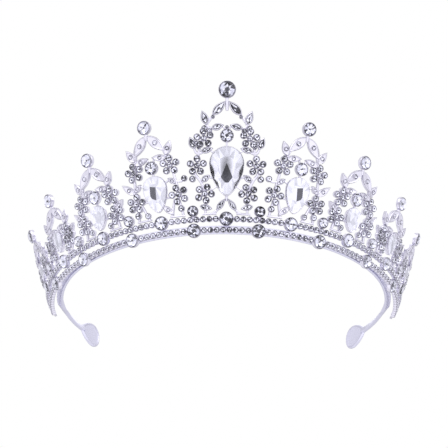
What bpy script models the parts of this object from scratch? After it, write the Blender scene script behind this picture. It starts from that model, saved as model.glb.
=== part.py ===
"""A rhinestone tiara: nine cast filigree spires soldered to two stone-set rails, on a sprung inner headband.

Metres, +Z up. The wearer's forehead is at -Y, the sprung arms reach back towards +Y, and the paddles on
their ends touch z = 0. Left is -X, as seen from the front. The ornament lies on a cone that flares
outwards, and is laid out flat on that cone: t runs round it, s runs up its slope from the upper rail,
w stands out of it.
"""

import math

import bmesh
import bpy
from mathutils import Matrix, Vector
from mathutils.geometry import delaunay_2d_cdt

MM = 0.001
GAP = 0.3  # clearance between soldered or set pieces, mm

# Driving dimensions, in millimetres and degrees.
BAND_RADIUS = 75.0  # crystal faces of the upper rail
FLARE = math.radians(22.0)  # outward lean of the rails
UPPER_RAIL_HEIGHT = 8.0  # centre line of the upper rail over the table
LOWER_RAIL_DROP = 4.4  # from the upper rail's centre line to the lower's
RAIL_WIDTH = 2.4
RAIL_END, RAIL_CLOSE = 100.0, 84.0  # degrees from the front, and where the two rails start to draw together
PLATE_BACK, PLATE_FRONT = -1.4, -0.4  # cast metal, across its thickness
RAIL_STONE = 2.6  # radius of a large rail crystal
BETWEEN_STONE = 2.0
FINIAL_STONE, CENTRE_FINIAL_STONE = 2.6, 3.2
DROP_STONE = 2.45  # the round crystal over a pear
SEAT_RIM = 0.3  # how far a seat stands out past its crystal
WIRE = 1.1
ROUND_CROWN, PEAR_CROWN, BETWEEN_CROWN, FINIAL_CROWN = 0.9, 1.6, 0.7, 1.3  # height over the girdle
GIRDLE_RISE = 0.75  # from a crystal's foot to its girdle
TABLE_SHARE = 0.62  # a crystal's flat top and foot, as a share of its girdle
BETWEEN_HEIGHT = 3.4  # a between crystal's centre over the upper rail's
DROP_RISE, CENTRE_DROP_RISE = 3.6, 4.45  # a drop crystal's centre over its pear's top

# One row for each distance from the front: angle, outward flare, sideways lean, finial height, pear top,
# pear tip, pear width, and where the lower flowers stand. The spires stand up straighter towards the
# sides. Spires 3 and 4 are too short for a drop crystal.
SPIRES = (
    dict(
        angle=0.0, flare=22.0, lean=0.0, finial=51.5, pear_top=28.6, pear_tip=9.3, pear_width=13.2,
        flower=(8.7, 10.1),
    ),
    dict(
        angle=20.0, flare=22.0, lean=3.7, finial=39.0, pear_top=18.9, pear_tip=4.7, pear_width=9.6,
        flower=(9.1, 10.0),
    ),
    dict(
        angle=41.0, flare=21.0, lean=-1.4, finial=32.7, pear_top=13.4, pear_tip=3.8, pear_width=7.4,
        flower=(8.6, 7.7),
    ),
    dict(
        angle=61.8, flare=18.9, lean=-2.5, finial=26.7, pear_top=12.6, pear_tip=4.4, pear_width=6.4,
        flower=(8.1, 7.2),
    ),
    dict(
        angle=81.5, flare=19.0, lean=-0.9, finial=24.1, pear_top=10.6, pear_tip=3.9, pear_width=5.6,
        flower=(7.2, 6.9),
    ),
)  # fmt: skip
DROP_SPIRES = 2  # the last spire from the front that carries a drop crystal
PLACES = ("centre", "inner", "second", "third", "outer")

# Headband. Its lower edge is clear of the table, which the paddles and then the lower rail meet.
BAND_FOOT = 3.9
BAND_LOW_RADIUS = 70.3  # outer face at that edge
BAND_THICK, ARM_THICK = 1.0, 2.0
THICKEN_START, THICKEN_END = 84.0, 97.0  # where the strip grows into the stouter arm
BAND_HEIGHT = 2.9
BAND_SHOULDER, SHOULDER_ANGLE = 0.5, 1.5  # the small step where the strip becomes an arm
STRIP_STEPS, ARM_STEPS = 12, 4
BAND_STRIP_END, ARM_END, PADDLE_TIP = 93.0, 113.2, 124.2
TWIST_START = 72.0  # from here the strip turns its face down, and past its end the arm turns back
TWIST, UNTWIST = 0.5, 0.6  # what each adds to the lean or takes from it
BAND_TUCK_START, BAND_TUCK = 60.0, 4.4  # where the ends start to curl in, and by how much
ARM_HEIGHT = 2.3
PADDLE_LENGTH, PADDLE_HEIGHT, PADDLE_RIM = 14.5, 10.0, 0.9
PADDLE_THICK, PADDLE_WEB = 1.4, 0.6
PADDLE_LAP = 1.6  # how far a paddle's point runs onto its arm
PADDLE_SWELL = 0.797  # the widest that the teardrop's curve comes to, before it is scaled to its height


def on_crown(angle, t, s, w, flare=FLARE):
    """The point, in metres, at t, s, w from the foot of the spire at an angle from the front."""
    reach = BAND_RADIUS + s * math.sin(flare)
    turn = angle + t / reach
    out = reach + w * math.cos(flare)
    rise = UPPER_RAIL_HEIGHT + s * math.cos(flare) - w * math.sin(flare)
    return Vector((out * math.sin(turn), -out * math.cos(turn), rise)) * MM


def leaned(t, s, lean):
    """A spire's own t, s turned sideways about its foot; the foot itself stays level with the rail."""
    settled = min(max((s - 2.0) / 8.0, 0.0), 1.0)
    return t * math.cos(lean) + s * math.sin(lean), s * math.cos(lean) - t * math.sin(lean) * settled


def posture(row, side):
    """A spire's angle from the front, sideways lean and outward flare, in radians."""
    return math.radians(row["angle"] * side), math.radians(row["lean"] * side), math.radians(row["flare"])


def drop_height(step):
    return SPIRES[step]["pear_top"] + (CENTRE_DROP_RISE if step == 0 else DROP_RISE)


# Flat outlines, counter-clockwise, as (t, s) points.


def disc(t, s, radius, sides):
    turns = (2 * math.pi * (i + 0.5) / sides for i in range(sides))
    return [(t + radius * math.cos(a), s + radius * math.sin(a)) for a in turns]


def leaf(base, tip, width, steps=3):
    """A pointed oval from base to tip."""
    along = Vector(tip) - Vector(base)
    across = Vector((-along.y, along.x)).normalized() * width / 2
    right, left = [], []
    for i in range(1, steps + 1):
        share = i / (steps + 1)
        bulge = math.sin(math.pi * share**0.85)
        spine = Vector(base) + along * share
        right.append(tuple(spine - across * bulge))
        left.append(tuple(spine + across * bulge))
    return [tuple(base)] + right + [tuple(tip)] + left[::-1]


def pear(top, tip, width, grow, sides):
    """A teardrop pointing down, its round end at the top."""
    radius = width / 2 + grow
    middle = top - width / 2
    drop = middle - (tip - 1.6 * grow)
    points = []
    for i in range(sides):
        turn = 2 * math.pi * i / sides
        x, y = radius * math.sin(turn), math.cos(turn)
        lower = y < 0
        x *= (1 - 0.38 * y * y) if lower else 1.0
        points.append((-x, middle + y * (drop if lower else radius)))
    return points


def ribbon(points, width):
    """A wire of constant width through points, ends square."""
    right, left = [], []
    for i, point in enumerate(points):
        before = Vector(points[max(i - 1, 0)])
        after = Vector(points[min(i + 1, len(points) - 1)])
        along = (after - before).normalized()
        across = Vector((-along.y, along.x)) * width / 2
        right.append(tuple(Vector(point) - across))
        left.append(tuple(Vector(point) + across))
    return right + left[::-1]


def flower(t, s, turn):
    """Five round petals about a bud, as one lobed outline."""
    points = []
    for petal in range(5):
        mid = turn + math.radians(72 * petal)
        for reach, swing in ((2.0, -31), (3.95, -15), (3.95, 15)):
            a = mid + math.radians(swing)
            points.append((t + reach * math.cos(a), s + reach * math.sin(a)))
    return points


def mirrored(outline):
    return [(-t, s) for t, s in reversed(outline)]


# The ornament of a spire. Each is the right-hand half; the left is its mirror image.


def centre_half():
    return [
        leaf((0.3, 46.9), (5.6, 41.6), 3.3),
        ribbon([(4.9, 42.4), (6.6, 39.9), (8.3, 37.2), (9.2, 33.2)], WIRE),
        leaf((7.9, 37.4), (10.1, 43.3), 3.0),
        leaf((5.9, 36.0), (1.1, 37.3), 2.8),
        ribbon([(8.3, 37.4), (6.8, 36.2), (4.6, 36.2)], WIRE),
        ribbon([(1.8, 37.2), (1.2, 36.2), (0.6, 35.0)], 0.8),
        flower(9.4, 33.0, math.radians(85)),
        leaf((12.8, 28.0), (14.9, 33.1), 2.9),
        ribbon([(13.3, 28.9), (12.2, 26.6), (10.6, 26.3), (9.0, 26.9)], WIRE),
        ribbon([(10.4, 31.5), (10.9, 28.6), (11.2, 26.3), (11.8, 22.6)], WIRE),
        leaf((10.2, 26.7), (5.4, 28.0), 2.6),
        ribbon([(7.0, 27.6), (5.6, 26.6), (4.0, 25.4)], 0.9),
        flower(11.9, 21.4, math.radians(92)),
        ribbon([(12.6, 19.4), (12.2, 17.6), (10.6, 15.4), (9.2, 12.6), (8.7, 10.6)], WIRE),
        disc(12.6, 16.2, 1.35, 8),
        leaf((10.1, 14.9), (6.6, 17.5), 2.5),
        ribbon([(7.4, 16.9), (6.2, 16.4), (4.8, 16.2)], 0.9),
        flower(8.7, 10.1, math.radians(112)),
        ribbon([(6.4, 11.2), (4.9, 12.3), (3.2, 13.4)], 0.8),
        leaf((3.9, 3.2), (0.3, 8.0), 2.1),
        ribbon([(2.9, 4.6), (4.0, 3.2), (5.6, 2.0)], WIRE),
        ribbon([(8.3, 7.2), (8.3, 4.4), (8.3, 2.0)], WIRE),
        disc(8.3, 4.5, 1.35, 8),
        ribbon([(3.9, 2.0), (6.0, 2.05), (9.6, 2.0)], 0.9),
    ]


def side_half(row, step, outward):
    """The same casting at its own height; outward is the half that faces away from the front."""
    high, neck = row["finial"], row["finial"] - 16.7
    across, low = row["flower"]
    parts = [
        leaf((0.2, high - 3.3), (6.7, high - 10.6), 4.1),
        leaf((6.5, high - 12.8), (9.6, high - 6.9), 3.0),
        ribbon([(5.6, high - 9.4), (6.5, high - 11.8), (7.4, neck + 1.2)], WIRE),
        leaf((7.0, high - 13.7), (0.7, high - 12.4), 2.8),
        flower(7.7, neck, math.radians(86)),
        ribbon([(8.3, neck - 1.4), (8.7, (neck + low) / 2), (across + 0.3, low + 1.4)], WIRE),
        flower(across, low, math.radians(104)),
        ribbon([(row["pear_width"] * 0.34, low - 0.6), (across - 3.2, low - 0.4), (across - 1.6, low)], 0.8),
        ribbon([(across - 0.2, low - 1.6), (across + 0.2, 3.8), (across + 0.4, 2.0)], WIRE),
        ribbon([(4.0, 2.0), (6.0, 2.05), (across + 1.1, 2.0)], 0.9),
        ribbon([(across - 2.1, low - 1.4), (5.4, 3.9), (4.7, 2.0)], WIRE),
    ]
    if step <= DROP_SPIRES:
        drop = drop_height(step)
        parts.append(ribbon([(1.6, high - 12.6), (1.0, drop + 2.0), (0.8, drop + 0.6)], 0.8))
    else:
        parts.append(ribbon([(1.6, high - 12.6), (1.0, high - 13.4), (0.8, row["pear_top"] - 1.0)], 0.8))
    if step == 1:
        parts.append(leaf((8.9, 14.6), (5.8, 17.2), 2.3))
        parts.append(ribbon([(6.4, 16.6), (5.0, 15.9), (3.4, 15.2)], 0.9))
    side_height = high - 23.3 if step == 1 else low + 3.0
    edge = across + 0.6
    if step == 1 and not outward:
        parts.append(ribbon([(9.0, 15.4), (11.0, 15.2), (12.4, 15.9)], WIRE))
        parts.append(disc(12.5, 16.0, 1.35, 8))
    elif outward and step < 4:
        parts.append(leaf((edge - 1.0, side_height - 2.0), (edge + 4.4, side_height + 3.4), 2.8))
    elif not outward:
        parts.append(leaf((edge, low + 2.0), (edge + 3.7, low + 5.6), 2.6))
    return parts


def spire_outlines(step, side):
    row = SPIRES[step]
    high = row["finial"]
    stone = CENTRE_FINIAL_STONE if step == 0 else FINIAL_STONE
    if step == 0:
        right = left = centre_half()
    else:
        right = side_half(row, step, side > 0)
        left = side_half(row, step, side < 0)
    parts = right + [mirrored(outline) for outline in left]
    parts.append(disc(0, high, stone + SEAT_RIM, 12))
    foot = 43.1 if step == 0 else high - 5.2
    parts.append(ribbon([(0, foot), (0, high - stone)], 1.5))
    parts.append(pear(row["pear_top"], row["pear_tip"], row["pear_width"], SEAT_RIM, 14))
    if step == 0:
        parts.append(disc(0, drop_height(step), DROP_STONE + SEAT_RIM, 12))
        parts.append(ribbon([(0, 27.5), (0, 31.5)], 0.9))
        parts.append(ribbon([(0, 7.0), (0, 10.2)], 1.2))
    elif step <= DROP_SPIRES:
        parts.append(disc(0, drop_height(step), DROP_STONE + SEAT_RIM, 12))
        parts.append(ribbon([(0, row["pear_top"] - 0.8), (0, row["pear_top"] + 1.8)], 0.9))
    return parts


# Flat outlines into solid plates.


def inside(point, outline):
    """Whether a point lies inside an outline, by counting crossings."""
    x, y = point
    crossed = False
    for (x0, y0), (x1, y1) in zip(outline, outline[1:] + outline[:1]):
        if (y0 > y) != (y1 > y) and x < x0 + (y - y0) * (x1 - x0) / (y1 - y0):
            crossed = not crossed
    return crossed


def covered(corners, outlines):
    middle = sum(corners, Vector((0, 0))) / 3
    return any(inside(middle, outline) for outline in outlines)


def union_triangles(outlines):
    """Corners and triangles of everything that the outlines cover, using only the union's own border."""
    points = [Vector(p) for outline in outlines for p in outline]
    faces, start = [], 0
    for outline in outlines:
        faces.append(list(range(start, start + len(outline))))
        start += len(outline)
    points, _, triangles = delaunay_2d_cdt(points, [], faces, 0, 2e-3, False)[:3]
    kept = [tri for tri in triangles if covered([points[i] for i in tri], outlines)]
    uses = {}
    for tri in kept:
        for a, b in zip(tri, tri[1:] + tri[:1]):
            key = (min(a, b), max(a, b))
            uses[key] = uses.get(key, 0) + 1
    border = [edge for edge, count in uses.items() if count == 1]
    corners = sorted({i for edge in border for i in edge})
    number = {old: new for new, old in enumerate(corners)}
    edges = [(number[a], number[b]) for a, b in border]
    points, _, triangles = delaunay_2d_cdt([points[i] for i in corners], edges, [], 0, 1e-4, False)[:3]
    return points, [tri for tri in triangles if covered([points[i] for i in tri], outlines)]


def fill_plate(bm, points, triangles, place):
    """Front and back faces of a plate and the walls between them; place(t, s, front) gives each corner."""
    front = [bm.verts.new(place(p.x, p.y, True)) for p in points]
    back = [bm.verts.new(place(p.x, p.y, False)) for p in points]
    walls = {}
    for tri in triangles:
        bm.faces.new([front[i] for i in tri])
        bm.faces.new([back[i] for i in reversed(tri)])
        for a, b in zip(tri, tri[1:] + tri[:1]):
            walls[(a, b)] = (b, a) not in walls
            if not walls[(a, b)]:
                walls[(b, a)] = False
    for (a, b), is_border in walls.items():
        if is_border:
            bm.faces.new([front[b], front[a], back[a], back[b]])
    loose = [v for v in bm.verts if not v.link_faces]
    bmesh.ops.delete(bm, geom=loose, context="VERTS")


def finish_mesh(name, bm, material):
    bmesh.ops.recalc_face_normals(bm, faces=bm.faces)
    mesh = bpy.data.meshes.new(name)
    bm.to_mesh(mesh)
    bm.free()
    obj = bpy.data.objects.new(name, mesh)
    mesh.materials.append(material)
    bpy.context.scene.collection.objects.link(obj)
    return obj


def make_spire(name, step, side, material):
    row = SPIRES[step]
    angle, lean, flare = posture(row, side)
    points, triangles = union_triangles(spire_outlines(step, side))

    def place(t, s, front):
        t, s = leaned(t, s, lean)
        return on_crown(angle, t, s, PLATE_FRONT if front else PLATE_BACK, flare)

    bm = bmesh.new()
    fill_plate(bm, points, triangles, place)
    return finish_mesh(name, bm, material)


# Rails: t is the angle in degrees here, scaled to the arc so that seats stay round.


def arc(degrees):
    return math.radians(degrees) * BAND_RADIUS


def rail_level(level, share):
    """The rails' ends draw together, half of the way that lies between them."""
    near = min(max((abs(share) * RAIL_END - RAIL_CLOSE) / (RAIL_END - RAIL_CLOSE), 0.0), 1.0)
    return level + (-LOWER_RAIL_DROP / 2 - level) * 0.55 * near * near


def rail_outline(level):
    """A long strip that narrows to a point at both ends."""
    steps = 50
    upper, lower = [], []
    for i in range(1, steps):
        share = 2 * i / steps - 1
        half = RAIL_WIDTH / 2 * min(1.0, (1 - abs(share)) * 10)
        middle = rail_level(level, share)
        lower.append((arc(RAIL_END * share), middle - half))
        upper.append((arc(RAIL_END * share), middle + half))
    tips = [[(arc(RAIL_END * side), rail_level(level, 1.0))] for side in (1, -1)]
    return lower + tips[0] + upper[::-1] + tips[1]


def half_angles():
    """Angles midway between neighbouring spires, on one side of the front."""
    angles = [row["angle"] for row in SPIRES]
    return [(a + b) / 2 for a, b in zip(angles, angles[1:])]


def make_rail(name, level, stone_angles, small_seats, material):
    outlines = [rail_outline(level)]
    for angle in stone_angles:
        outlines.append(disc(arc(angle), level, RAIL_STONE + SEAT_RIM - 0.05, 12))
    for angle in small_seats:
        outlines.append(disc(arc(angle), level + BETWEEN_HEIGHT, BETWEEN_STONE + SEAT_RIM, 10))
    points, triangles = union_triangles(outlines)

    def place(t, s, front):
        reach = BAND_RADIUS + s * math.sin(FLARE)
        return on_crown(0.0, t * reach / BAND_RADIUS, s, PLATE_FRONT if front else PLATE_BACK)

    bm = bmesh.new()
    fill_plate(bm, points, triangles, place)
    return finish_mesh(name, bm, material)


# Crystals: a foot, a girdle and a table, seated in front of the plate.


def make_crystal(name, outline, angle, centre, material, crown, flare=FLARE):
    """outline is flat and about (0, 0); the crystal stays rigid, tangent to the cone at its centre."""
    t, s = centre
    seat = PLATE_FRONT + GAP
    girdle = seat + GIRDLE_RISE
    levels = ((TABLE_SHARE, seat), (1.0, girdle), (TABLE_SHARE, girdle + crown))
    origin = on_crown(angle, t, s, 0.0, flare)
    east = (on_crown(angle, t + 0.01, s, 0.0, flare) - origin).normalized()
    outward = (on_crown(angle, t, s, 1.0, flare) - origin).normalized()
    north = outward.cross(east)
    frame = Matrix((east, north, outward)).transposed().to_4x4()
    frame.translation = origin
    bm = bmesh.new()
    rings = []
    for scale, height in levels:
        ring = [bm.verts.new(Vector((x * scale, y * scale, height)) * MM) for x, y in outline]
        rings.append(ring)
    for low, high in zip(rings, rings[1:]):
        for i in range(len(outline)):
            j = (i + 1) % len(outline)
            bm.faces.new([low[i], low[j], high[j], high[i]])
    bm.faces.new(rings[0][::-1])
    bm.faces.new(rings[-1])
    obj = finish_mesh(name, bm, material)
    obj.matrix_world = frame
    return obj


def centred_pear(row, sides=14):
    """The pear crystal's outline about its own middle, and that middle's height."""
    middle = (row["pear_top"] + row["pear_tip"]) / 2
    outline = pear(row["pear_top"], row["pear_tip"], row["pear_width"], 0.0, sides)
    return [(t, s - middle) for t, s in outline], middle


# Headband: a flat strip leaning with the ornament, arms, and a rimmed paddle on each end.


def share_past(degrees, start, end):
    """0 up to a start angle, 1 from an end angle, and straight between."""
    return min(max((abs(degrees) - start) / (end - start), 0.0), 1.0)


def band_radius(degrees):
    return BAND_LOW_RADIUS - BAND_TUCK * share_past(degrees, BAND_TUCK_START, PADDLE_TIP) ** 1.3


def band_height(degrees):
    """The strip's full height, a small shoulder, then an arm that narrows to the paddle."""
    shoulder = share_past(degrees, BAND_STRIP_END, BAND_STRIP_END + SHOULDER_ANGLE)
    along_arm = share_past(degrees, BAND_STRIP_END + SHOULDER_ANGLE, ARM_END)
    return BAND_HEIGHT - BAND_SHOULDER * shoulder - (BAND_HEIGHT - BAND_SHOULDER - ARM_HEIGHT) * along_arm


def band_thick(degrees):
    return BAND_THICK + (ARM_THICK - BAND_THICK) * share_past(degrees, THICKEN_START, THICKEN_END)


def band_lean(degrees):
    """How far the top edge stands out beyond the foot, for each millimetre of height."""
    turned = TWIST * share_past(degrees, TWIST_START, BAND_STRIP_END)
    return math.tan(FLARE) + turned - UNTWIST * share_past(degrees, BAND_STRIP_END, ARM_END)


def band_section(degrees):
    """Four corners of the strip's section: outer bottom, inner bottom, inner top, outer top."""
    turn = math.radians(degrees)
    radius, height = band_radius(degrees), band_height(degrees)
    low = BAND_FOOT + (BAND_HEIGHT - height) / 2
    lean = height * band_lean(degrees)
    inner = radius - band_thick(degrees)
    corners = ((radius, low), (inner, low), (inner + lean, low + height), (radius + lean, low + height))
    return [Vector((r * math.sin(turn), -r * math.cos(turn), z)) * MM for r, z in corners]


def make_headband(name, material):
    bm = bmesh.new()
    strip = [BAND_STRIP_END * (i / STRIP_STEPS - 1) for i in range(2 * STRIP_STEPS + 1)]
    along = (ARM_END - BAND_STRIP_END - SHOULDER_ANGLE) / ARM_STEPS
    arm = [BAND_STRIP_END + SHOULDER_ANGLE + along * i for i in range(ARM_STEPS + 1)]
    degrees = [-d for d in reversed(arm)] + strip + arm
    rings = [[bm.verts.new(p) for p in band_section(d)] for d in degrees]
    for near, far in zip(rings, rings[1:]):
        for i in range(4):
            j = (i + 1) % 4
            bm.faces.new([near[i], near[j], far[j], far[i]])
    bm.faces.new(rings[0][::-1])
    bm.faces.new(rings[-1])
    return finish_mesh(name, bm, material)


def paddle_outline(steps):
    """A teardrop, pointed at 0 and round at PADDLE_LENGTH, as (along, up) points."""
    outline = []
    for i in range(steps):
        turn = 2 * math.pi * i / steps
        along = PADDLE_LENGTH * (0.5 - 0.5 * math.cos(turn))
        swell = math.sin(turn) * (0.55 + 0.45 * math.sin(turn / 2) ** 2)
        outline.append((along, swell * PADDLE_HEIGHT / 2 / PADDLE_SWELL))
    return outline


def make_paddle(name, side, material):
    """A teardrop pad whose rim stands proud of a thin web, in line with the arm's end."""
    start = sum(band_section(side * ARM_END), Vector()) / 4
    ahead = sum(band_section(side * (ARM_END + 1)), Vector()) / 4 - start
    ahead = Vector((ahead.x, ahead.y, 0.0)).normalized()
    up = Vector((0, 0, 1))
    outward = ahead.cross(up) * -side
    outline = paddle_outline(20)
    middle = PADDLE_LENGTH * 0.56
    bm = bmesh.new()

    def ring(scale, depth):
        made = []
        for along, rise in outline:
            x = middle + (along - middle) * scale - PADDLE_LAP
            point = start + (ahead * x + up * (rise * scale) + outward * depth) * MM
            made.append(bm.verts.new(point))
        return made

    inner = 1 - 2 * PADDLE_RIM / PADDLE_HEIGHT
    half, web = PADDLE_THICK / 2, PADDLE_WEB / 2
    profile = ((inner, -web), (inner, -half), (1.0, -half), (1.0, half), (inner, half), (inner, web))
    rings = [ring(scale, depth) for scale, depth in profile]
    for low, high in zip(rings, rings[1:]):
        for i in range(len(outline)):
            j = (i + 1) % len(outline)
            bm.faces.new([low[i], low[j], high[j], high[i]])
    bm.faces.new(rings[0][::-1])
    bm.faces.new(rings[-1])
    paddle = finish_mesh(name, bm, material)
    paddle.hide_render = True
    paddle.display_type = "WIRE"
    return paddle


def weld_on(whole, piece):
    join = whole.modifiers.new("weld_" + piece.name, "BOOLEAN")
    join.operation = "UNION"
    join.solver = "EXACT"
    join.object = piece


def make_material(name, colour, roughness, metallic):
    material = bpy.data.materials.new(name)
    material.use_nodes = True
    shader = material.node_tree.nodes["Principled BSDF"]
    shader.inputs["Base Color"].default_value = (*colour, 1.0)
    shader.inputs["Roughness"].default_value = roughness
    shader.inputs["Metallic"].default_value = metallic
    return material


def side_names(step):
    if step == 0:
        return [(0, "centre")]
    return [(-1, "left_" + PLACES[step]), (1, "right_" + PLACES[step])]


def build_spires(silver, glass):
    for step, row in enumerate(SPIRES):
        for side, where in side_names(step):
            angle, lean, flare = posture(row, side)
            make_spire("spire_" + where, step, side, silver)
            top = leaned(0.0, row["finial"], lean)
            gem = disc(0, 0, CENTRE_FINIAL_STONE if step == 0 else FINIAL_STONE, 10)
            make_crystal("finial_crystal_" + where, gem, angle, top, glass, FINIAL_CROWN, flare)
            outline, height = centred_pear(row)
            gem = [leaned(t, s, lean) for t, s in outline]
            middle = leaned(0.0, height, lean)
            make_crystal("pear_crystal_" + where, gem, angle, middle, glass, PEAR_CROWN, flare)
            if step <= DROP_SPIRES:
                middle, gem = leaned(0.0, drop_height(step), lean), disc(0, 0, DROP_STONE, 10)
                make_crystal("drop_crystal_" + where, gem, angle, middle, glass, ROUND_CROWN, flare)
            gem = disc(0, 0, RAIL_STONE, 10)
            make_crystal("upper_rail_crystal_" + where, gem, angle, (0.0, 0.0), glass, ROUND_CROWN)


def build_rails(silver, glass):
    spire_angles = [side * row["angle"] for step, row in enumerate(SPIRES) for side, _ in side_names(step)]
    halves = half_angles()
    both = [side * angle for angle in halves for side in (-1, 1)]
    make_rail("upper_rail", 0.0, spire_angles, both, silver)
    make_rail("lower_rail", -LOWER_RAIL_DROP, both, [], silver)
    for step, angle in enumerate(halves, start=1):
        for side, where in side_names(step):
            turn = math.radians(side * angle)
            low, high = (0.0, -LOWER_RAIL_DROP), (0.0, BETWEEN_HEIGHT)
            gem = disc(0, 0, RAIL_STONE, 10)
            make_crystal("lower_rail_crystal_" + where, gem, turn, low, glass, ROUND_CROWN)
            gem = disc(0, 0, BETWEEN_STONE, 10)
            make_crystal("between_crystal_" + where, gem, turn, high, glass, BETWEEN_CROWN)


def stand_on_origin():
    """Puts the middle of the crown's footprint at x = y = 0 and its lowest point at z = 0."""
    bpy.context.view_layer.update()
    objects = [obj for obj in bpy.data.objects if obj.type == "MESH"]
    corners = [obj.matrix_world @ corner.co for obj in objects for corner in obj.data.vertices]
    back, front = max(p.y for p in corners), min(p.y for p in corners)
    move = Vector((0.0, -(back + front) / 2, -min(p.z for p in corners)))
    for obj in objects:
        obj.location += move


def main():
    for obj in list(bpy.data.objects):
        bpy.data.objects.remove(obj)
    silver = make_material("silver_plate", (0.86, 0.86, 0.92), 0.18, 1.0)
    steel = make_material("band_steel", (0.80, 0.81, 0.86), 0.25, 1.0)
    glass = make_material("crystal", (0.93, 0.95, 1.0), 0.03, 0.0)
    build_spires(silver, glass)
    build_rails(silver, glass)
    headband = make_headband("headband", steel)
    for side, where in ((-1, "left"), (1, "right")):
        weld_on(headband, make_paddle("paddle_" + where, side, steel))
    stand_on_origin()


main()
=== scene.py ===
"""The looks of a rhinestone tiara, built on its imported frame: cast filigree, set stones and a sprung band.

Tables hold millimetres and degrees; meshes are made in metres, in the frame's own axes. The ornament is
laid out flat, as the CAD is: t runs round the crown, s runs up its slope and w stands out of it.
"""

import math
import random

import bmesh
import bpy
from mathutils import Matrix, Vector


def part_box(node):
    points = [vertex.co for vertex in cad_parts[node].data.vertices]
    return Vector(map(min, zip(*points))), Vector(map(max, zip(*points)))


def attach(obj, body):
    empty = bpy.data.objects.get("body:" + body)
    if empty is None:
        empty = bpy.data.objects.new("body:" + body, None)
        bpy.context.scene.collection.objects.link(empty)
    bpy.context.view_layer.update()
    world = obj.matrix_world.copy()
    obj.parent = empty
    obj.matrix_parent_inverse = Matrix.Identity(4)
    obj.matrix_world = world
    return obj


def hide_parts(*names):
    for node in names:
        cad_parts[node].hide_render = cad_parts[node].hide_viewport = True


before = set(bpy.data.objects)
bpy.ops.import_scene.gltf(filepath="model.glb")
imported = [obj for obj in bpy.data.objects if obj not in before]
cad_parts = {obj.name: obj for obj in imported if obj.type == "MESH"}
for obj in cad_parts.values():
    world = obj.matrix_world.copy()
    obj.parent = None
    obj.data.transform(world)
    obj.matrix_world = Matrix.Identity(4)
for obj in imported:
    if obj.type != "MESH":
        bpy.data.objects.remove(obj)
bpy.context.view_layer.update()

MM = 0.001

# The CAD's own layout, repeated.
BAND_RADIUS = 75.0
FLARE = math.radians(22.0)
LOWER_RAIL_DROP = 4.4
RAIL_WIDTH = 2.4
RAIL_END, RAIL_CLOSE = 100.0, 84.0
SMALL_PITCH = 2.55
RAIL_STONE = 2.6
BETWEEN_STONE = 2.0
FINIAL_STONE, CENTRE_FINIAL_STONE = 2.6, 3.2
DROP_STONE = 2.45
PETAL_REACH = 2.75
BAND_FOOT, BAND_LOW_RADIUS, BAND_HEIGHT = 3.9, 70.3, 2.9
BAND_THICK, ARM_THICK = 1.0, 2.0
THICKEN_START, THICKEN_END = 84.0, 97.0
BAND_SHOULDER, SHOULDER_ANGLE, ARM_HEIGHT = 0.5, 1.5, 2.3
BAND_STRIP_END, ARM_END, PADDLE_TIP = 93.0, 113.2, 124.2
TWIST_START, TWIST, UNTWIST = 72.0, 0.5, 0.6
BAND_TUCK_START, BAND_TUCK = 60.0, 4.4
PADDLE_LENGTH, PADDLE_HEIGHT, PADDLE_LAP = 14.5, 10.0, 1.6
PADDLE_SWELL = 0.797  # the widest that the teardrop's curve comes to, before it is scaled to its height
SPIRES = (
    dict(
        angle=0.0, flare=22.0, lean=0.0, finial=51.5, pear_top=28.6, pear_tip=9.3, pear_width=13.2,
        flower=(8.7, 10.1),
    ),
    dict(
        angle=20.0, flare=22.0, lean=3.7, finial=39.0, pear_top=18.9, pear_tip=4.7, pear_width=9.6,
        flower=(9.1, 10.0),
    ),
    dict(
        angle=41.0, flare=21.0, lean=-1.4, finial=32.7, pear_top=13.4, pear_tip=3.8, pear_width=7.4,
        flower=(8.6, 7.7),
    ),
    dict(
        angle=61.8, flare=18.9, lean=-2.5, finial=26.7, pear_top=12.6, pear_tip=4.4, pear_width=6.4,
        flower=(8.1, 7.2),
    ),
    dict(
        angle=81.5, flare=19.0, lean=-0.9, finial=24.1, pear_top=10.6, pear_tip=3.9, pear_width=5.6,
        flower=(7.2, 6.9),
    ),
)  # fmt: skip
DROP_SPIRES = 2  # the last spire from the front that carries a drop stone
DROP_RISE, CENTRE_DROP_HEIGHT = 3.6, 33.05  # above the pear, and from the centre spire's foot
BETWEEN_HEIGHT = 3.4
UPPER_RAIL_HEIGHT = 8.0  # on the scale that BAND_FOOT is measured on
PLACES = ("centre", "inner", "second", "third", "outer")

# Depths of the ornament, along w.
BACK = -1.4
LARGE_GIRDLE, LARGE_CROWN = 0.65, 0.8
LARGE_DEPTH = 0.26  # of the stone's radius
LARGE_DEEP = 1.95  # from a large cup's rim down to its floor
PEAR_CROWN_SHARE, PEAR_DEPTH_SHARE = 0.072, 0.053  # of the pear's width

# Where the frame has put the ring: its middle, and the upper rail's centre line.
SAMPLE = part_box("upper_rail_crystal_centre")
RING_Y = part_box("headband")[0].y / MM + BAND_LOW_RADIUS + BAND_HEIGHT * math.tan(FLARE)
RAIL_Z = (SAMPLE[0].z + SAMPLE[1].z) / 2 / MM + LARGE_GIRDLE * math.sin(FLARE)


def on_crown(angle, t, s, w, flare=FLARE):
    """The point, in metres, at t, s, w from the foot of the spire at an angle in radians from the front."""
    reach = BAND_RADIUS + s * math.sin(flare)
    turn = angle + t / reach
    out = reach + w * math.cos(flare)
    rise = RAIL_Z + s * math.cos(flare) - w * math.sin(flare)
    return Vector((out * math.sin(turn), RING_Y - out * math.cos(turn), rise)) * MM


def leaned(t, s, lean):
    settled = min(max((s - 2.0) / 8.0, 0.0), 1.0)
    return t * math.cos(lean) + s * math.sin(lean), s * math.cos(lean) - t * math.sin(lean) * settled


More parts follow.
